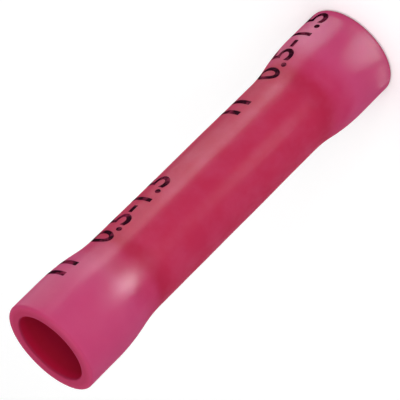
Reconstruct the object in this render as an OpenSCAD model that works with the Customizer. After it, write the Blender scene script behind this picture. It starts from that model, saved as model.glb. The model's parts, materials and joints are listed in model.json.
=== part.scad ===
// Butt splice connector for 22-16 wire: a red vinyl sleeve with a belled mouth at
// each end, shrunk on to a tinned copper crimp barrel that joins two wires end to end.
// It stands on its lower rim. +Z runs along the barrel, and the origin is the middle
// of the lower rim.

/* [Barrel] */
// Length of the crimp barrel
barrel_len = 13.5; // [8:0.5:24]
// Diameter of the bore that each stripped wire goes into
bore_d = 1.7; // [1.5:0.05:2.3]
// Thickness of the copper wall
barrel_wall = 0.8; // [0.7:0.05:1]
// Chamfer that leads the strands into the bore
lead_in = 0.35; // [0.1:0.05:0.5]
// Chamfer on the outer edge of each barrel end
edge_break = 0.15; // [0.05:0.05:0.25]

/* [Wire stop] */
// Opening left through the bead that is rolled in at mid length
stop_d = 0.6; // [0.3:0.05:0.8]
// Radius of the bead's rounded nose, half the bead's width
stop_nose_r = 0.6; // [0.4:0.05:0.75]
// Depth of the groove that the rolling tool leaves outside
groove_depth = 0.45; // [0.2:0.05:0.55]
// Radius of the groove's section
groove_r = 0.7; // [0.6:0.05:1]

/* [Seam] */
// Width of the notch where the rolled strip's edges meet
seam_w = 0.16; // [0.08:0.02:0.3]
// Depth of that notch
seam_depth = 0.12; // [0.06:0.02:0.2]

/* [Sleeve] */
// Straight length of each bell, from its rim to the shoulder
bell_len = 2.35; // [1:0.05:6]
// Thickness of the vinyl over the barrel
waist_wall = 0.91; // [0.6:0.01:1.2]
// Inside diameter of each belled mouth
mouth_d = 4.38; // [4.2:0.02:5.6]
// Thickness of the vinyl in the bell
bell_wall = 0.77; // [0.5:0.01:1]
// Length of the rounded shoulder that leads in from the bell
shoulder_len = 2.4; // [1.2:0.1:4]
// Length of the hollow neck that leads on to the waist
neck_len = 1.6; // [0.8:0.1:3]
// How far the neck laps over the end of the barrel
neck_lap = 0.1; // [0.05:0.05:0.5]
// Radius on the outer edge of each rim
rim_outer_r = 0.2; // [0.05:0.05:0.3]
// Radius on the inner edge of each rim
rim_inner_r = 0.12; // [0.04:0.02:0.16]

/* [Fit] */
// Radial gap between the barrel and the sleeve that grips it
grip_gap = 0.01; // [0.005:0.005:0.03]

/* [Hidden] */

$fn = 96;
// Steps in each arc of the sleeve's outline
arc_steps = 16;
// How far a cutting shape reaches past the surface that it cuts
overcut = 0.1;

vinyl_red = "#BE3C62";
tin_silver = "#C9CBCE";

bore_r = bore_d / 2;
barrel_r = bore_r + barrel_wall;
stop_r = stop_d / 2;
barrel_mid = barrel_len / 2;

seat_r = barrel_r + grip_gap;
waist_r = seat_r + waist_wall;
mouth_r = mouth_d / 2;
bell_r = mouth_r + bell_wall;

// Depth from each rim to the end of the barrel
funnel_depth = bell_len + shoulder_len + neck_len - neck_lap;
sleeve_len = barrel_len + 2 * funnel_depth;

// Points along an arc in the (radius, height) plane, without its first point
function arc(centre, r, from, to) =
    [for (i = [1 : arc_steps])
        let (a = from + (to - from) * i / arc_steps)
        centre + r * [cos(a), sin(a)]];

// A shoulder and a hollow that meet at one slope and narrow a tube from r_from to r_to.
// Both are arcs, tangent to the straight tube at their outer ends.
function taper(r_from, r_to, z_from, shoulder, hollow) =
    let (run = shoulder + hollow)
    let (lean = 2 * atan((r_from - r_to) / run))
    let (shoulder_r = shoulder / sin(lean))
    let (hollow_r = hollow / sin(lean))
    concat(
        [[r_from, z_from]],
        arc([r_from - shoulder_r, z_from], shoulder_r, 0, lean),
        arc([r_to + hollow_r, z_from + run], hollow_r, 180 + lean, 180));

// The same points on the upper half of the sleeve, in reverse order
function upper(points) =
    [for (i = [len(points) - 1 : -1 : 0])
        [points[i][0], sleeve_len - points[i][1]]];

function reversed(points) = [for (i = [len(points) - 1 : -1 : 0]) points[i]];

// Lower half of the outside, from the flat of the rim up to the waist
lower_outside = concat(
    [[bell_r - rim_outer_r, 0]],
    arc([bell_r - rim_outer_r, rim_outer_r], rim_outer_r, -90, 0),
    taper(bell_r, waist_r, bell_len, shoulder_len, neck_len));

// Lower half of the inside, from the flat of the rim up to the end of the barrel
lower_inside = concat(
    [[mouth_r + rim_inner_r, 0]],
    arc([mouth_r + rim_inner_r, rim_inner_r], rim_inner_r, 270, 180),
    taper(mouth_r, seat_r, bell_len, shoulder_len, neck_len - neck_lap));

module insulating_sleeve() {
    outside = concat(lower_outside, upper(lower_outside));
    inside = concat(lower_inside, upper(lower_inside));
    color(vinyl_red)
        rotate_extrude()
            polygon(concat(outside, reversed(inside)));
}

// Section of the barrel's wall, with a chamfer at each corner
module barrel_wall_section() {
    polygon([
        [bore_r + lead_in, 0],
        [barrel_r - edge_break, 0],
        [barrel_r, edge_break],
        [barrel_r, barrel_len - edge_break],
        [barrel_r - edge_break, barrel_len],
        [bore_r + lead_in, barrel_len],
        [bore_r, barrel_len - lead_in],
        [bore_r, lead_in]]);
}

// Section of the bead that stops both wires at mid length, rooted in the wall
module stop_section() {
    nose_r = stop_r + stop_nose_r;
    root_r = bore_r + barrel_wall / 2;
    intersection() {
        union() {
            translate([nose_r, barrel_mid])
                circle(stop_nose_r);
            translate([nose_r, barrel_mid - stop_nose_r])
                square([root_r - stop_r, 2 * stop_nose_r]);
        }
        square([root_r, barrel_len]);
    }
}

// Section of the groove that the rolling tool presses in behind the bead
module groove_section() {
    translate([barrel_r - groove_depth + groove_r, barrel_mid])
        circle(groove_r);
}

// Notch along the outside, where the edges of the rolled strip meet
module seam_notch() {
    flank = overcut * seam_w / (2 * seam_depth);
    translate([0, 0, -overcut])
        linear_extrude(barrel_len + 2 * overcut)
            polygon([
                [0, -(barrel_r - seam_depth)],
                [-seam_w / 2 - flank, -(barrel_r + overcut)],
                [seam_w / 2 + flank, -(barrel_r + overcut)]]);
}

module crimp_barrel() {
    color(tin_silver)
        translate([0, 0, funnel_depth])
            difference() {
                rotate_extrude()
                    difference() {
                        union() {
                            barrel_wall_section();
                            stop_section();
                        }
                        groove_section();
                    }
                seam_notch();
            }
}

insulating_sleeve();
crimp_barrel();
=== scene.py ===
# %% [markdown]
# # A butt splice connector
#
# A butt splice joins two wires end to end. A red vinyl sleeve grips a short tinned copper
# tube, and each end of the sleeve is opened into a bell that guides the wire in.
# The solids come ready-made and fix every size. This lesson gives them a finished surface:
# the soft, slightly translucent vinyl, the bright tin inside it and the printed wire size.

# %% Load the solids
import json
import math

import bpy
from mathutils import Matrix, Vector


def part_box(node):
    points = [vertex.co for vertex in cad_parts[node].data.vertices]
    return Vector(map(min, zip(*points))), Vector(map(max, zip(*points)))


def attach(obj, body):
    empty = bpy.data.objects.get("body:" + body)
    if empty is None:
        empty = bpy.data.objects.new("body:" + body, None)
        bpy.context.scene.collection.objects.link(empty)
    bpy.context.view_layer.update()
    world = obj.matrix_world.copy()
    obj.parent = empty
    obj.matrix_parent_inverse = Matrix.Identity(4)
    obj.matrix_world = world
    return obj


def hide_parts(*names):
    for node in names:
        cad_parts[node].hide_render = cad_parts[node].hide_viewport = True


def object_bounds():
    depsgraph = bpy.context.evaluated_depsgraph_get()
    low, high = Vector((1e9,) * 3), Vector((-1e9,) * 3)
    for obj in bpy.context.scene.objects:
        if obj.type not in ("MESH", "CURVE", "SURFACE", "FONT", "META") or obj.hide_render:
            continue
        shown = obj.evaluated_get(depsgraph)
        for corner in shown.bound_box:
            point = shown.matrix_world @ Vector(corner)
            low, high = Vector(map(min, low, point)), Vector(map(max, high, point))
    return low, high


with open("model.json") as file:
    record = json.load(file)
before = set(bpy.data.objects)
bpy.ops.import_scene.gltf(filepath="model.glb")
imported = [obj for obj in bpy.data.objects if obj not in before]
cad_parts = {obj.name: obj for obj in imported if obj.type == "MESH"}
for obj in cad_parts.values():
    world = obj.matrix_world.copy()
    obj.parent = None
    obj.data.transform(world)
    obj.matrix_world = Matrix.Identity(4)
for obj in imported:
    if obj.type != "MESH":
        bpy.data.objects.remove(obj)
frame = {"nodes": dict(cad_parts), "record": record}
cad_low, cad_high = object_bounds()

MM = 0.001
print("solids:", sorted(frame["nodes"]))

# %% [markdown]
# Blender works in metres and the splice is only 26 mm long, so every size below is written
# in millimetres times MM. The sizes that the solids already have are read from them:
# the boxes of the two nodes, the radii of the bores, and later the sleeve's outline itself.

# %% Read the sizes
mounts = {mount["name"]: mount for mount in frame["record"]["mounts"]}
MOUTH_R = mounts["upper_mouth"]["dims"]["r_mm"] * MM
BORE_R = mounts["upper_wire_bore"]["dims"]["r_mm"] * MM

LENGTH = cad_high.z - cad_low.z
MID_Z = (cad_high.z + cad_low.z) / 2
barrel_low, barrel_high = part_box("crimp_barrel")
BARREL_R = barrel_high.y
print(f"length {LENGTH / MM:.2f} mm, mouth radius {MOUTH_R / MM:.2f} mm")
print(f"barrel radius {BARREL_R / MM:.2f} mm, bore radius {BORE_R / MM:.2f} mm")

# %% [markdown]
# Both pieces are turned forms, so each is drawn as half a section and spun round the axis.
# By hand that is a vertex, extruded from point to point along the section, closed with an
# edge and then handed to Spin. A cylinder with many scaled loops would give the same shape,
# but a section is easier to read and to change.

# %% Helpers that draw and spin a section
SIDES = 128
MERGE_DISTANCE = 0.001 * MM


def refine(section, longest):
    """Add points to a section so that no step along it is longer than that."""
    fine = []
    for here, there in zip(section, section[1:]):
        count = max(1, math.ceil(math.dist(here, there) / longest))
        for i in range(count):
            fine.append(tuple(a + (b - a) * i / count for a, b in zip(here, there)))
    return fine + [section[-1]]


def arc(centre, radius, start, end, steps):
    """Points on an arc of a section, with its angles in degrees."""
    angles = [math.radians(start + (end - start) * i / steps) for i in range(steps + 1)]
    return [(centre[0] + radius * math.cos(a), centre[1] + radius * math.sin(a)) for a in angles]


def spin_section(name, section):
    """Spin a closed section, a list of (radius, height), round the Z axis."""
    bpy.ops.object.select_all(action="DESELECT")
    bpy.ops.mesh.primitive_plane_add(size=MM)
    piece = bpy.context.object
    piece.name = name
    bpy.ops.object.mode_set(mode="EDIT")
    bpy.ops.mesh.select_mode(type="VERT")
    bpy.ops.mesh.merge(type="CENTER")
    bpy.ops.transform.translate(value=(0, -section[0][0], section[0][1]))
    for (radius, height), (next_radius, next_height) in zip(section, section[1:]):
        step = (0, radius - next_radius, next_height - height)
        bpy.ops.mesh.extrude_region_move(TRANSFORM_OT_translate={"value": step})
    # The last vertex is still selected, so with the first one it makes the closing edge
    bpy.ops.object.mode_set(mode="OBJECT")
    piece.data.vertices[0].select = True
    bpy.ops.object.mode_set(mode="EDIT")
    bpy.ops.mesh.edge_face_add()
    bpy.ops.mesh.select_all(action="SELECT")
    bpy.ops.mesh.spin(
        steps=SIDES, angle=2 * math.pi, use_auto_merge=True, center=(0, 0, 0), axis=(0, 0, 1))
    bpy.ops.mesh.select_all(action="SELECT")
    bpy.ops.mesh.remove_doubles(threshold=MERGE_DISTANCE)
    bpy.ops.mesh.normals_make_consistent(inside=False)
    bpy.ops.object.mode_set(mode="OBJECT")
    print(f"{name}: {len(piece.data.vertices)} vertices, {len(piece.data.polygons)} faces")
    return piece


# %% [markdown]
# ## The vinyl sleeve
#
# The real sleeve is a length of extruded tube. Its ends are warmed and pushed over a mandrel,
# which leaves a straight bell, a rounded shoulder and a hollow neck. The solid already has that
# outline as rings of vertices, so the section is read from them: a ring outside the middle of
# the wall belongs to the outer skin, and one inside it to the funnel. The skin is drawn a hair
# smaller than the solid, which leaves room for the ink that is printed on it.

# %% Read the outline and spin it
INK_PROUD = 0.006 * MM
LONGEST_STEP = 0.4 * MM
SHORTEST_STEP = 0.005 * MM
RING_STEP = 0.001 * MM

rings = {
    (round(math.hypot(v.co.x, v.co.y) / RING_STEP), round(v.co.z / RING_STEP))
    for v in frame["nodes"]["insulating_sleeve"].data.vertices}
rings = sorted(((r * RING_STEP, z * RING_STEP) for r, z in rings), key=lambda ring: ring[1])
WAIST_R = min(rings, key=lambda ring: abs(ring[1] - MID_Z))[0]
WALL_SPLIT_R = (MOUTH_R + WAIST_R) / 2

skin = [(r - INK_PROUD, z) for r, z in rings if r > WALL_SPLIT_R]
funnel = [(r, z) for r, z in rings if r < WALL_SPLIT_R]
sleeve_section = []
for side in (skin, funnel[::-1]):
    apart = [side[0]]
    for point in side[1:]:
        if math.dist(point, apart[-1]) > SHORTEST_STEP:
            apart.append(point)
    sleeve_section += refine(apart, LONGEST_STEP)
sleeve = spin_section("vinyl_sleeve", sleeve_section)
print(f"waist radius {WAIST_R / MM:.2f} mm, {len(sleeve_section)} points in the section")

# %% [markdown]
# Warm vinyl never comes off a mandrel perfectly true. A Displace modifier with a soft clouds
# texture gives the skin a waviness of a few hundredths of a millimetre, which is enough to make
# the long highlights wander a little. Its middle level is 1, so the skin only ever sinks, and
# the sleeve stays inside the size of its solid.

# %% Make the sleeve a little uneven
WAVE_LENGTH = 5 * MM
WAVE_DEPTH = 0.045 * MM
SMOOTH_ANGLE = math.radians(35)

waves = bpy.data.textures.new("mandrel_waves", type="CLOUDS")
waves.noise_scale = WAVE_LENGTH
uneven = sleeve.modifiers.new("uneven", "DISPLACE")
uneven.texture = waves
uneven.texture_coords = "LOCAL"
uneven.mid_level = 1
uneven.strength = WAVE_DEPTH
bpy.ops.object.modifier_apply(modifier=uneven.name)
bpy.ops.object.shade_smooth_by_angle(angle=SMOOTH_ANGLE)
print("sleeve sinks by up to", round(WAVE_DEPTH / MM, 3), "mm")

# %% [markdown]
# ## The crimp barrel
#
# The barrel is copper strip rolled into a tube and tin plated. Each end has a lead-in chamfer for
# the strands and a broken outer edge, and a bead rolled in at mid length stops both wires. It
# could be the plain solid with a metal finish, but through the funnel its end is seen close up,
# so it is spun again with more sides and its edges are softened by a Bevel modifier.

# %% Spin the barrel
LEAD_IN = 0.35 * MM
EDGE_BREAK = 0.15 * MM
STOP_R = 0.3 * MM
STOP_NOSE_R = 0.6 * MM
GROOVE_DEPTH = 0.45 * MM
GROOVE_R = 0.7 * MM
ARC_STEPS = 16

groove_centre = (BARREL_R - GROOVE_DEPTH + GROOVE_R, MID_Z)
groove_half = math.degrees(math.acos(1 - GROOVE_DEPTH / GROOVE_R))
nose_centre = (STOP_R + STOP_NOSE_R, MID_Z)
nose_half = math.degrees(math.acos((nose_centre[0] - BORE_R) / STOP_NOSE_R))
bottom, top = barrel_low.z, barrel_high.z
barrel_section = [
    (BORE_R + LEAD_IN, bottom),
    (BARREL_R - EDGE_BREAK, bottom),
    (BARREL_R, bottom + EDGE_BREAK),
    *arc(groove_centre, GROOVE_R, 180 + groove_half, 180 - groove_half, ARC_STEPS),
    (BARREL_R, top - EDGE_BREAK),
    (BARREL_R - EDGE_BREAK, top),
    (BORE_R + LEAD_IN, top),
    (BORE_R, top - LEAD_IN),
    *arc(nose_centre, STOP_NOSE_R, 180 - nose_half, 180 + nose_half, ARC_STEPS),
    (BORE_R, bottom + LEAD_IN)]
barrel = spin_section("tinned_barrel", barrel_section)

# %% [markdown]
# The strip's two edges meet in a butt seam, which shows as a fine notch along the tube. The spin
# started on the -Y side, so a column of vertices lies exactly there. Pushing that column in by
# the depth of the notch makes a V between its two neighbours.

# %% Press in the seam and soften the edges
SEAM_DEPTH = 0.12 * MM
SEAM_PICK = 0.02 * MM
SOFT_EDGE = 0.035 * MM

bpy.ops.object.mode_set(mode="EDIT")
bpy.ops.mesh.select_all(action="DESELECT")
bpy.ops.object.mode_set(mode="OBJECT")
for vertex in barrel.data.vertices:
    on_seam = abs(vertex.co.x) < SEAM_PICK and vertex.co.y < 0
    vertex.select = on_seam and -vertex.co.y > BARREL_R - SEAM_PICK
print("seam vertices:", sum(vertex.select for vertex in barrel.data.vertices))
bpy.ops.object.mode_set(mode="EDIT")
bpy.ops.transform.translate(value=(0, SEAM_DEPTH, 0))
bpy.ops.object.mode_set(mode="OBJECT")

soften = barrel.modifiers.new("soften", "BEVEL")
soften.width = SOFT_EDGE
soften.segments = 2
soften.limit_method = "ANGLE"
soften.angle_limit = SMOOTH_ANGLE
bpy.ops.object.modifier_apply(modifier=soften.name)
bpy.ops.object.shade_smooth_by_angle(angle=SMOOTH_ANGLE)
print("barrel faces after the bevel:", len(barrel.data.polygons))

# %% [markdown]
# ## The printed wire size
#
# The sleeve carries its wire size in black ink, along one side and repeated so that it still reads
# after crimping: the range in square millimetres, behind two bars. Ink could be painted by the
# material, but digits drawn by nodes are hard to read and to change. Here a text object is made a
# mesh, cut into small faces, pressed on to the sleeve by a Shrinkwrap modifier and given a hair of
# thickness.

# %% Lay out one group of print, flat
WIRE_RANGE = "0.5-1.5"
DIGIT_HEIGHT = 1.85 * MM
DIGITS_LEN = 5.6 * MM
DIGITS_START = 2.95 * MM
BAR_COUNT = 2
BAR_W = 0.3 * MM
BAR_PITCH = 0.92 * MM
# Widens the strokes of the digits, in the font's own unit
BOLDER = 0.012

bpy.ops.object.select_all(action="DESELECT")
bpy.ops.object.text_add()
bpy.context.object.data.body = WIRE_RANGE
bpy.context.object.data.offset = BOLDER
bpy.ops.object.convert(target="MESH")
digits = bpy.context.object
digits_low = Vector(map(min, zip(*(v.co for v in digits.data.vertices))))
digits_high = Vector(map(max, zip(*(v.co for v in digits.data.vertices))))
widen = DIGITS_LEN / (digits_high.x - digits_low.x)
heighten = DIGIT_HEIGHT / (digits_high.y - digits_low.y)
digits.scale = (widen, heighten, 1)
digits.location = (DIGITS_START - digits_low.x * widen, -DIGIT_HEIGHT / 2, 0)
bpy.ops.object.transform_apply(location=True, rotation=True, scale=True)

bars = []
for i in range(BAR_COUNT):
    bpy.ops.mesh.primitive_plane_add(size=1, location=(i * BAR_PITCH, 0, 0))
    bar = bpy.context.object
    bar.scale = (BAR_W, DIGIT_HEIGHT, 1)
    bpy.ops.object.transform_apply(location=True, rotation=True, scale=True)
    bars.append(bar)
for piece in [*bars, digits]:
    piece.select_set(True)
bpy.context.view_layer.objects.active = digits
bpy.ops.object.join()
flat_print = bpy.context.object
print("flat print:", len(flat_print.data.vertices), "vertices")

# %% [markdown]
# A flat face can't bend, and each digit is one large face so far. Before the print is pressed on to a
# round sleeve, Bisect cuts it along a grid, more closely across the print, where the sleeve curves.

# %% Cut the flat print into small faces
CUT_ACROSS = 0.13 * MM
CUT_ALONG = 0.25 * MM

bpy.ops.object.mode_set(mode="EDIT")
bpy.ops.mesh.select_all(action="SELECT")
bpy.ops.mesh.remove_doubles(threshold=MERGE_DISTANCE)
cuts = [
    ((0, 1, 0), -DIGIT_HEIGHT / 2, DIGIT_HEIGHT / 2, CUT_ACROSS),
    ((1, 0, 0), -BAR_W, DIGITS_START + DIGITS_LEN, CUT_ALONG)]
for normal, start, end, step in cuts:
    for i in range(1, math.ceil((end - start) / step)):
        bpy.ops.mesh.select_all(action="SELECT")
        place = Vector(normal) * (start + i * step)
        bpy.ops.mesh.bisect(plane_co=place, plane_no=normal)
bpy.ops.object.mode_set(mode="OBJECT")
print("print after cutting:", len(flat_print.data.polygons), "faces")

# %% [markdown]
# The print reads from the upper end downwards, with the feet of its digits towards the front. So the
# flat group is stood on its edge, turned to its place round the sleeve and held clear of it. The
# Shrinkwrap then projects it straight back on to the vinyl, over shoulder and neck alike.

# %% Press the print on to the sleeve
PRINT_COUNT = 2
PRINT_TOP = 2.87 * MM
PRINT_PITCH = 14.2 * MM
PRINT_TURN = math.radians(-22)
CLEAR_R = 4 * MM
INK_DEPTH = 0.02 * MM

prints = []
for i in range(PRINT_COUNT):
    bpy.ops.object.select_all(action="DESELECT")
    flat_print.select_set(True)
    bpy.context.view_layer.objects.active = flat_print
    bpy.ops.object.duplicate()
    group = bpy.context.object
    group.name = f"ink_print_{i + 1}"
    turn = Matrix.Rotation(PRINT_TURN, 4, "Z")
    stand = Matrix.Rotation(math.radians(90), 4, "Y")
    away = Matrix.Translation((CLEAR_R, 0, LENGTH - PRINT_TOP - i * PRINT_PITCH))
    group.matrix_world = turn @ away @ stand
    wrap = group.modifiers.new("wrap", "SHRINKWRAP")
    wrap.target = sleeve
    wrap.wrap_method = "PROJECT"
    wrap.use_project_z = True
    wrap.use_negative_direction = True
    wrap.use_positive_direction = False
    wrap.offset = INK_PROUD
    bpy.ops.object.modifier_apply(modifier=wrap.name)
    bpy.ops.object.transform_apply(location=True, rotation=True, scale=True)
    thicken = group.modifiers.new("thicken", "SOLIDIFY")
    thicken.thickness = INK_DEPTH
    thicken.offset = -1
    bpy.ops.object.modifier_apply(modifier=thicken.name)
    prints.append(group)
bpy.data.objects.remove(flat_print)
print("print groups:", [group.name for group in prints])

# %% [markdown]
# ## Finishes
#
# Colours are written as sRGB hex values, as a colour picker shows them, and one function turns them
# into the linear values that shaders use. A second function adds a node: it takes the node's settings
# and what goes into each of its sockets, either a value or another node's output.

# %% Helpers for materials
def linear(hex_colour):
    """An sRGB hex colour as linear red, green, blue and alpha."""
    channels = [int(hex_colour[i:i + 2], 16) / 255 for i in (1, 3, 5)]
    return [c / 12.92 if c <= 0.04045 else ((c + 0.055) / 1.055) ** 2.4 for c in channels] + [1]


def add(tree, kind, settings, **sockets):
    """Add a node. A socket's name is written with _ for a space, or in0, in1 for its number."""
    made = tree.nodes.new("ShaderNode" + kind)
    for key, value in settings.items():
        setattr(made, key, value)
    for key, value in sockets.items():
        number = key[2:]
        socket = made.inputs[int(number) if number.isdigit() else key.replace("_", " ")]
        if isinstance(value, bpy.types.NodeSocket):
            tree.links.new(value, socket)
        else:
            socket.default_value = value
    return made


def start_material(name):
    """A new material with a Principled shader, its node tree and its Object coordinates."""
    material = bpy.data.materials.new(name)
    material.use_nodes = True
    tree = material.node_tree
    tree.nodes.clear()
    shader = add(tree, "BsdfPrincipled", {})
    add(tree, "OutputMaterial", {}, Surface=shader.outputs["BSDF"])
    return material, tree, shader, add(tree, "TexCoord", {}).outputs["Object"]


def per_mm(size_in_mm):
    """The Scale that makes a noise feature about that size, on coordinates in metres."""
    return 1 / (size_in_mm * MM)


# %% [markdown]
# ### Plasticised vinyl
#
# The sleeve is soft PVC, extruded and dyed through. It is a little translucent, so its colour changes
# with what is behind it: a full red over the metal, darker near the barrel's ends, and a paler pink
# over the hollow bells. Inside the funnel, where light only comes through the wall, it is a deep red,
# and the cut rim is duller than the skin. Light scattered through the wall could give all this, but
# it would change with every lamp. Here that light and shade are painted into the base colour by
# place: painted light pales the bells, and painted shade darkens the band by the barrel's ends, the
# funnel and the cut rim.

# %% Vinyl: start with its colours, painted light and shade among them
# Distance from the middle of the red zone, in mm, and the colour of the skin there: the vinyl's red,
# with shade painted deeper just past the barrel's ends and light painted paler over the hollow bells
SKIN_RED_PAINTED_LIGHT_AND_SHADE = [(6.2, "#BA284F"), (7.2, "#B12047"), (8.2, "#BC3260"), (9.5, "#C24272")]
# Depth below the rim, in mm, and the colour of the funnel there: painted shade that deepens the red
# further in, with painted light making it pinker at the lip
FUNNEL_PAINTED_SHADE = [(0.0, "#B23058"), (0.3, "#BB173D"), (0.8, "#A91733"), (1.5, "#9F1432")]
# Distance from the mouth across the cut rim, in mm, and the colour there: painted shade, deepest
# at the mouth
RIM_PAINTED_SHADE = [(0.3, "#A32C51"), (0.5, "#AB3359"), (0.65, "#AF3960")]
MOTTLE_PINK = "#CC5880"


def tint(tree, distance, tints):
    """The colour at a distance in metres, blended between tints that are listed by millimetre."""
    reach = tints[-1][0]
    share = add(tree, "Math", {"operation": "DIVIDE"}, in0=distance, in1=reach * MM).outputs[0]
    ramp = add(tree, "ValToRGB", {}, Fac=share)
    ramp.color_ramp.interpolation = "EASE"
    stops = ramp.color_ramp.elements
    while len(stops) < len(tints):
        stops.new(1.0)
    for stop, (at, colour) in zip(stops, tints):
        stop.position = at / reach
        stop.color = linear(colour)
    return ramp.outputs["Color"]


vinyl, tree, shader, place = start_material("plasticised_vinyl")
print("tints:", len(SKIN_RED_PAINTED_LIGHT_AND_SHADE), "skin,", len(FUNNEL_PAINTED_SHADE), "funnel,", len(RIM_PAINTED_SHADE), "rim")

# %% [markdown]
# Three distances say where on the sleeve a point lies: from the axis, from the nearer rim and from the
# middle of the red zone, which sits a little low on this sleeve. Soft clouds push that zone's border
# about, because the vinyl doesn't cling evenly, and a fine mottle pales the skin in places.

# %% Vinyl: put each colour in its place
TINT_MID_Z = MID_Z - 0.5 * MM
RIM_DEPTH = 0.25 * MM
CLOUD_MM = 3.5
CLOUD_DRIFT = 1.6 * MM
MOTTLE_MM = 1.3
MOTTLE_FROM, MOTTLE_TO = 0.4, 0.75
MOTTLE_MOST = 0.2

height = add(tree, "SeparateXYZ", {}, Vector=place).outputs["Z"]
across = add(tree, "VectorMath", {"operation": "MULTIPLY"}, in0=place, in1=(1, 1, 0)).outputs[0]
radius = add(tree, "VectorMath", {"operation": "LENGTH"}, in0=across).outputs["Value"]
from_mid = add(tree, "Math", {"operation": "SUBTRACT"}, in0=height, in1=MID_Z).outputs[0]
from_mid = add(tree, "Math", {"operation": "ABSOLUTE"}, in0=from_mid).outputs[0]
from_rim = add(tree, "Math", {"operation": "SUBTRACT"}, in0=LENGTH / 2, in1=from_mid).outputs[0]
from_mouth = add(tree, "Math", {"operation": "SUBTRACT"}, in0=radius, in1=MOUTH_R).outputs[0]
from_tint = add(tree, "Math", {"operation": "SUBTRACT"}, in0=height, in1=TINT_MID_Z).outputs[0]
from_tint = add(tree, "Math", {"operation": "ABSOLUTE"}, in0=from_tint).outputs[0]
clouds = add(tree, "TexNoise", {}, Vector=place, Scale=per_mm(CLOUD_MM), Detail=2.0).outputs["Fac"]
drift = add(tree, "MapRange", {}, Value=clouds,
            To_Min=-CLOUD_DRIFT / 2, To_Max=CLOUD_DRIFT / 2).outputs["Result"]
from_tint = add(tree, "Math", {"operation": "ADD"}, in0=from_tint, in1=drift).outputs[0]

mottle = add(tree, "TexNoise", {}, Vector=place, Scale=per_mm(MOTTLE_MM), Detail=4.0).outputs["Fac"]
mottle = add(tree, "MapRange", {}, Value=mottle,
             From_Min=MOTTLE_FROM, From_Max=MOTTLE_TO, To_Max=MOTTLE_MOST).outputs["Result"]
# The skin's colour holds the painted shade by the barrel's ends and the painted light of the bells
skin_colour = add(tree, "Mix", {"data_type": "RGBA"}, Factor=mottle,
                  in6=tint(tree, from_tint, SKIN_RED_PAINTED_LIGHT_AND_SHADE), in7=linear(MOTTLE_PINK)).outputs[2]
# Towards the mouth the skin gives way to the funnel's painted shade
outside = add(tree, "MapRange", {"interpolation_type": "SMOOTHSTEP"}, Value=radius,
              From_Min=MOUTH_R, From_Max=WAIST_R).outputs["Result"]
colour = add(tree, "Mix", {"data_type": "RGBA"}, Factor=outside,
             in6=tint(tree, from_rim, FUNNEL_PAINTED_SHADE), in7=skin_colour).outputs[2]
# Across the cut rim the colour is a painted shade, deepest at the mouth
cut = add(tree, "MapRange", {"interpolation_type": "SMOOTHSTEP"}, Value=from_rim,
          From_Max=RIM_DEPTH, To_Min=1.0, To_Max=0.0).outputs["Result"]
colour = add(tree, "Mix", {"data_type": "RGBA"}, Factor=cut,
             in6=colour, in7=tint(tree, from_mouth, RIM_PAINTED_SHADE)).outputs[2]
tree.links.new(colour, shader.inputs["Base Color"])
print("vinyl nodes for the colour:", len(tree.nodes))

# %% [markdown]
# Soft PVC has a dull shine: a thin film of plasticiser lies on a skin that is never quite smooth. The
# film is a weak coat, and the skin below it mirrors nothing of its own. A coat with the usual IOR of
# 1.5 makes the edges of the tube pale, so this one has a higher IOR and a lower weight, which shine as
# much at the front and less at the edges. The die drew fine lines along the tube, which are a bump.
# Subsurface scattering softens the shading, with red light going furthest.

# %% Vinyl: shine, die lines and depth
GRAIN_MM = 0.35
GRAIN_SHARE = 0.6
# Real die lines are finer than this, and would not show in the picture
DIE_LINE_MM = 0.16
DIE_LINE_RUN_MM = 9.0
RELIEF_DEPTH = 0.006 * MM
VINYL_SMOOTH, VINYL_ROUGH = 0.3, 0.42

grain = add(tree, "TexNoise", {}, Vector=place, Scale=per_mm(GRAIN_MM), Detail=3.0).outputs["Fac"]
gloss = add(tree, "MapRange", {}, Value=grain, To_Min=VINYL_SMOOTH, To_Max=VINYL_ROUGH).outputs["Result"]
tree.links.new(gloss, shader.inputs["Roughness"])

stretch = (1, 1, DIE_LINE_MM / DIE_LINE_RUN_MM)
drawn = add(tree, "Mapping", {}, Vector=place, Scale=stretch).outputs[0]
lines = add(tree, "TexNoise", {}, Vector=drawn, Scale=per_mm(DIE_LINE_MM), Detail=2.0).outputs["Fac"]
relief = add(tree, "Math", {"operation": "MULTIPLY_ADD"}, in0=grain, in1=GRAIN_SHARE, in2=lines).outputs[0]
bump = add(tree, "Bump", {}, Height=relief, Strength=0.5, Distance=RELIEF_DEPTH).outputs["Normal"]
tree.links.new(bump, shader.inputs["Normal"])
tree.links.new(bump, shader.inputs["Coat Normal"])

shader.inputs["IOR"].default_value = 1.53
shader.inputs["Specular IOR Level"].default_value = 0.0
shader.inputs["Coat Weight"].default_value = 0.08
shader.inputs["Coat Roughness"].default_value = 0.3
shader.inputs["Coat IOR"].default_value = 1.8
shader.inputs["Subsurface Weight"].default_value = 0.3
shader.inputs["Subsurface Radius"].default_value = (1.0, 0.3, 0.4)
shader.inputs["Subsurface Scale"].default_value = 0.5 * MM
print("vinyl nodes in all:", len(tree.nodes))

# %% [markdown]
# ### Tin plate
#
# Electroplated tin on copper is bright but not a mirror: the strip's rolling marks run along the tube
# and soft patches of haze sit on it. A metal takes its colour from Base Color alone, so only that,
# the roughness and a shallow bump vary.

# %% Tin
TIN_BRIGHT = "#D6D6D2"
TIN_DULL = "#AEAFAE"
HAZE_MM = 0.8
ROLL_MARK_MM = 0.07
ROLL_MARK_RUN_MM = 3.0
MARK_DEPTH = 0.004 * MM
TIN_SMOOTH, TIN_ROUGH = 0.2, 0.42

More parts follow.
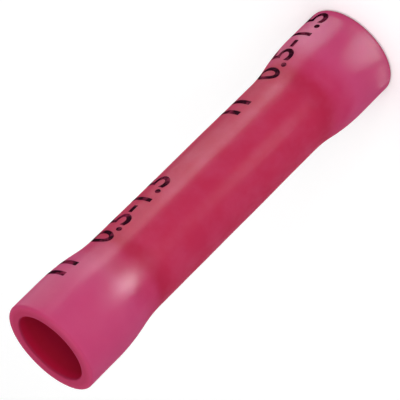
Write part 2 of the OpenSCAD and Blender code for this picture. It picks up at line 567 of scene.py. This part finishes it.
tin, tree, shader, place = start_material("tin_plate_on_copper")
haze = add(tree, "TexNoise", {}, Vector=place, Scale=per_mm(HAZE_MM), Detail=4.0).outputs["Fac"]
colour = add(tree, "Mix", {"data_type": "RGBA"},
             Factor=haze, in6=linear(TIN_BRIGHT), in7=linear(TIN_DULL)).outputs[2]
tree.links.new(colour, shader.inputs["Base Color"])
stretch = (1, 1, ROLL_MARK_MM / ROLL_MARK_RUN_MM)
rolled = add(tree, "Mapping", {}, Vector=place, Scale=stretch).outputs[0]
marks = add(tree, "TexNoise", {}, Vector=rolled, Scale=per_mm(ROLL_MARK_MM), Detail=2.0).outputs["Fac"]
gloss = add(tree, "MapRange", {}, Value=marks, To_Min=TIN_SMOOTH, To_Max=TIN_ROUGH).outputs["Result"]
tree.links.new(gloss, shader.inputs["Roughness"])
bump = add(tree, "Bump", {}, Height=marks, Strength=0.4, Distance=MARK_DEPTH).outputs["Normal"]
tree.links.new(bump, shader.inputs["Normal"])
shader.inputs["Metallic"].default_value = 1.0
print("tin nodes:", len(tree.nodes))

# %% [markdown]
# ### Printing ink
#
# The black is put on by a wheel and takes unevenly, so it thins to a dark maroon in patches where the
# vinyl shows through. It dries matt, so it has no shine of its own.

# %% Ink
INK_FULL = "#2E101D"
INK_THIN = "#842543"
INK_PATCH_MM = 0.5
THIN_FROM, THIN_TO = 0.48, 0.68
INK_SMOOTH, INK_ROUGH = 0.55, 0.75

ink, tree, shader, place = start_material("black_printing_ink")
patches = add(tree, "TexNoise", {}, Vector=place, Scale=per_mm(INK_PATCH_MM), Detail=3.0).outputs["Fac"]
thin = add(tree, "MapRange", {}, Value=patches, From_Min=THIN_FROM, From_Max=THIN_TO).outputs["Result"]
colour = add(tree, "Mix", {"data_type": "RGBA"},
             Factor=thin, in6=linear(INK_FULL), in7=linear(INK_THIN)).outputs[2]
tree.links.new(colour, shader.inputs["Base Color"])
gloss = add(tree, "MapRange", {}, Value=patches, To_Min=INK_SMOOTH, To_Max=INK_ROUGH).outputs["Result"]
tree.links.new(gloss, shader.inputs["Roughness"])
shader.inputs["Specular IOR Level"].default_value = 0.0
print("ink nodes:", len(tree.nodes))

# %% [markdown]
# Each finished piece gets its material and rides on the one body that the splice has. The sleeve and
# the barrel also stand for the solids that they were measured from.

# %% Dress the pieces
dressed = [(sleeve, vinyl, "red_vinyl"), (barrel, tin, "tinned_copper")]
dressed += [(group, ink, "red_vinyl") for group in prints]
for piece, material, slot in dressed:
    piece.data.materials.clear()
    piece.data.materials.append(material)
    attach(piece, "root")
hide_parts("insulating_sleeve")
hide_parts("crimp_barrel")
print("pieces:", [piece.name for piece, material, slot in dressed])

# %% [markdown]
# ## Stage
#
# A plain white floor, wide enough to fill every view, and a light world. The world lights the part
# less than it shows, and the floor gets a little light of its own, but only for rays that look at
# them, directly or by way of gloss or glass. So the background is white and the floor still takes the
# shadow.

# %% Floor and world
FLOOR_SIZE = 4.0
FLOOR_COLOUR = "#F6F6F6"
FLOOR_FILL = 0.2
WHITE = "#FFFFFF"
AMBIENT = 0.42


def looking(tree):
    """A socket that is 1 for rays from the camera, from gloss and through glass."""
    rays = add(tree, "LightPath", {}).outputs
    seen = rays["Is Camera Ray"]
    for kind in ("Is Glossy Ray", "Is Transmission Ray"):
        seen = add(tree, "Math", {"operation": "MAXIMUM"}, in0=seen, in1=rays[kind]).outputs[0]
    return seen


bpy.ops.object.select_all(action="DESELECT")
bpy.ops.mesh.primitive_plane_add(size=FLOOR_SIZE)
floor = bpy.context.object
floor.name = "floor"
paper, tree, shader, place = start_material("white_paper")
shader.inputs["Base Color"].default_value = linear(FLOOR_COLOUR)
shader.inputs["Roughness"].default_value = 0.9
shader.inputs["Specular IOR Level"].default_value = 0.0
shader.inputs["Emission Color"].default_value = linear(WHITE)
fill = add(tree, "Math", {"operation": "MULTIPLY"}, in0=looking(tree), in1=FLOOR_FILL).outputs[0]
tree.links.new(fill, shader.inputs["Emission Strength"])
floor.data.materials.append(paper)

world = bpy.data.worlds.new("studio")
bpy.context.scene.world = world
world.use_nodes = True
tree = world.node_tree
tree.nodes.clear()
glow = add(tree, "MapRange", {}, Value=looking(tree), To_Min=AMBIENT, To_Max=1.0).outputs["Result"]
sky = add(tree, "Background", {}, Color=linear(WHITE), Strength=glow).outputs["Background"]
add(tree, "OutputWorld", {}, Surface=sky)
print("floor", FLOOR_SIZE, "m wide")

# %% [markdown]
# ## Light
#
# The light is soft and plain: a large box overhead, another in front and the pale world light the part
# evenly. A lamp's power says little about how bright it looks, because that also depends on its
# size, so the helper takes the brightness of its surface and works the power out.

# %% Boxes that light the part
UP = Vector((0, 0, 1))
SIDEWAYS = Vector((1, 0, 0))
OVERHEAD = 300 * MM * UP
OVERHEAD_SIZE = (300 * MM, 300 * MM)
FRONT = Vector((0, -250, 200)) * MM
FRONT_SIZE = (200 * MM, 200 * MM)


def softbox(name, radiance, centre, facing, along, size,
            gloss_only=False, spread=180, shape="RECTANGLE"):
    """An area lamp as bright as a surface of that radiance, its first side along a direction."""
    lamp = bpy.data.lights.new(name, "AREA")
    lamp.shape = shape
    lamp.size, lamp.size_y = size
    area = lamp.size * lamp.size_y * (math.pi / 4 if shape == "ELLIPSE" else 1)
    lamp.energy = radiance * math.pi * area
    lamp.spread = math.radians(spread)
    box = bpy.data.objects.new(name, lamp)
    bpy.context.scene.collection.objects.link(box)
    back = -facing.normalized()
    side = (along - back * along.dot(back)).normalized()
    turn = Matrix((side, back.cross(side), back)).transposed()
    box.matrix_world = Matrix.Translation(centre) @ turn.to_4x4()
    box.visible_camera = False
    box.visible_diffuse = not gloss_only
    # A lamp that rays can hit would still pass some light to the colour under the gloss
    lamp.cycles.use_multiple_importance_sampling = not gloss_only
    print(f"{name}: {lamp.energy:.4f} W")


softbox("overhead", 1.4, OVERHEAD, -UP, SIDEWAYS, OVERHEAD_SIZE)
softbox("front_box", 3.0, FRONT, -FRONT, SIDEWAYS, FRONT_SIZE)

# %% [markdown]
# The splice stands upright and is seen from above, so its sides mirror the floor and not the sky, and
# the panels that draw its highlights lie on the floor. They show in gloss alone, which keeps the light
# on the part level. A point on the tube mirrors the floor at about twice its own angle round the axis,
# and the higher it is, the further out. So a long pale band up one side is a row of panels that leads
# away from the splice. The band breaks off at the lower shoulder, which leans and sees the panels at
# a low angle, and a narrower spread keeps their light from going that low.

# %% Panels for the pale side
PANEL_LIFT_MM = 0.3


def on_floor(azimuth):
    """Directions over the floor: outwards at an azimuth from -Y towards +X, and across that."""
    angle = math.radians(azimuth)
    out = Vector((math.sin(angle), -math.cos(angle), 0))
    return out, UP.cross(out)


def panel(name, azimuth, distance, size, radiance,
          aside=0, lift=PANEL_LIFT_MM, crosswise=False, aim=None, **lamp_settings):
    """A panel on the floor that shows in gloss alone, facing up or to an aim, with its sizes in mm.

    Its first side points away from the splice, or across that way if it lies crosswise."""
    out, across = on_floor(azimuth)
    centre = (out * distance + across * aside + UP * lift) * MM
    facing = aim - centre if aim else UP
    along = across if crosswise else out
    sides = [side * MM for side in size]
    softbox(name, radiance, centre, facing, along, sides, gloss_only=True, **lamp_settings)


BAND_AZIMUTH = 54
panel("band_near", BAND_AZIMUTH, distance=11.6, size=(16.8, 6), radiance=16.4, aside=1.7, spread=149)
panel("band_far", BAND_AZIMUTH, distance=42, size=(44, 12), radiance=13.9, aside=4.7, spread=161)

SIDE_AZIMUTH = 90
BELL_AZIMUTH = 122
panel("side_near", SIDE_AZIMUTH, distance=13, size=(14, 14), radiance=4.6, aside=1)
panel("side_far", SIDE_AZIMUTH, distance=45, size=(50, 32), radiance=7.6)
panel("side_bell", BELL_AZIMUTH, distance=62, size=(20, 42), radiance=6.8)

# %% [markdown]
# Smaller panels draw the rest: a faint streak up the front, the bright foot of the lower bell and a
# spot on the upper neck. The foot mirrors only the floor beside it, so its panels lie close to the rim,
# one row of them round it. The spot's panels stand in an arc, turned to the neck and with so narrow a
# spread that hardly anything else catches them.

# %% Panels for the front, the foot and the neck
STRIP_AZIMUTH = -23
panel("front_strip", STRIP_AZIMUTH, distance=20.4, size=(15, 11), radiance=13.4,
      spread=142, shape="ELLIPSE")

FOOT_AZIMUTH = -13
RING_AZIMUTHS = [-70, -42, -14, 14]
low_down = {"lift": 0.1, "crosswise": True, "shape": "ELLIPSE"}
panel("foot_core", FOOT_AZIMUTH, distance=3.55, size=(3.0, 1.0), radiance=12, **low_down)
panel("foot_tail", FOOT_AZIMUTH, distance=5.0, size=(4.2, 3.7), radiance=14, **low_down)
for i, azimuth in enumerate(RING_AZIMUTHS):
    panel(f"foot_ring_{i + 1}", azimuth, distance=3.8, size=(2.6, 1.5), radiance=5.5, **low_down)

NECK_AZIMUTH = -9
NECK_Z = 21.2 * MM
# Azimuth of each panel, and how bright it is
NECK_PANELS = [(-36, 0.65), (-18, 1.75), (0, 0.9), (18, 0.3), (36, 0.18)]
neck = on_floor(NECK_AZIMUTH)[0] * WAIST_R + UP * NECK_Z
at_neck = {"aim": neck, "spread": 15, "crosswise": True, "shape": "ELLIPSE"}
for i, (azimuth, radiance) in enumerate(NECK_PANELS):
    panel(f"neck_spot_{i + 1}", azimuth, distance=23.5, size=(7.4, 6), radiance=radiance, **at_neck)

# %% [markdown]
# ## Camera
#
# The view is that of a long lens a hand's width away, 26 degrees above the horizon and rolled so that
# the upper end of the splice points to the lower left of the picture. The camera's axes are built from
# three plain directions: into the picture, down along the splice and sideways.

# %% Camera
ELEVATION = math.radians(26.2)
# Angle from the picture's right up to the way down along the splice
ROLL = math.radians(44.716)
DISTANCE = 150 * MM
LENS_MM = 246
SENSOR_MM = 36
AIM_ABOVE_MID = 0.457 * MM

forward = Vector((0, math.cos(ELEVATION), -math.sin(ELEVATION)))
down_splice = Vector((0, -math.sin(ELEVATION), -math.cos(ELEVATION)))
right = down_splice * math.cos(ROLL) - SIDEWAYS * math.sin(ROLL)
up = down_splice * math.sin(ROLL) + SIDEWAYS * math.cos(ROLL)
aim = UP * MID_Z - down_splice * AIM_ABOVE_MID
eye = aim - forward * DISTANCE

lens = bpy.data.cameras.new("camera")
lens.lens = LENS_MM
lens.sensor_width = SENSOR_MM
lens.clip_start = DISTANCE / 100
lens.clip_end = FLOOR_SIZE * 2
camera = bpy.data.objects.new("camera", lens)
bpy.context.scene.collection.objects.link(camera)
turn = Matrix((right, up, -forward)).transposed()
camera.matrix_world = Matrix.Translation(eye) @ turn.to_4x4()
bpy.context.scene.camera = camera
bpy.context.scene.view_settings.view_transform = "Standard"
print("camera at", [round(x / MM, 1) for x in eye], "mm")
